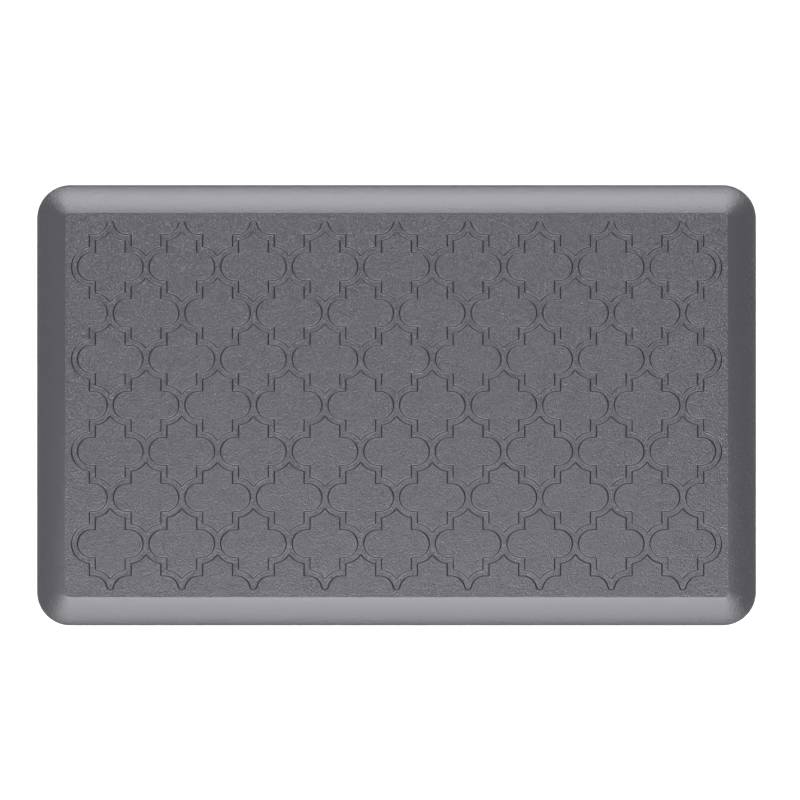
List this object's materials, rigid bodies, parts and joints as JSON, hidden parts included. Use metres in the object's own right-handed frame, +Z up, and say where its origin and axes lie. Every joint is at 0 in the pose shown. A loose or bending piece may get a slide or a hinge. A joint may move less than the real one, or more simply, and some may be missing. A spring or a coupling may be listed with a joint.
{
  "type": "anti fatigue mat",
  "caption": "Cushioned rectangular standing-desk mat with rounded corners, broad bevelled edges and a debossed trellis pattern on top.",
  "frame": {"origin": "on the floor plane, under the middle of the mat", "axes": "+X along the mat's long side, +Y across it towards the far edge, +Z up out of the embossed top"},
  "size_m": [0.914, 0.56, 0.019],
  "materials": {
    "top_skin": "satin polyurethane skin with a fine pebble grain, slate grey",
    "foam": "fine-celled polyurethane foam, grey",
    "base_skin": "matte non-slip rubber sheet with shallow lozenge cells, dark grey"
  },
  "bodies": {
    "root": {"top_skin": "top_skin", "foam_core": "foam", "base_skin": "base_skin"}
  },
  "joints": []
}
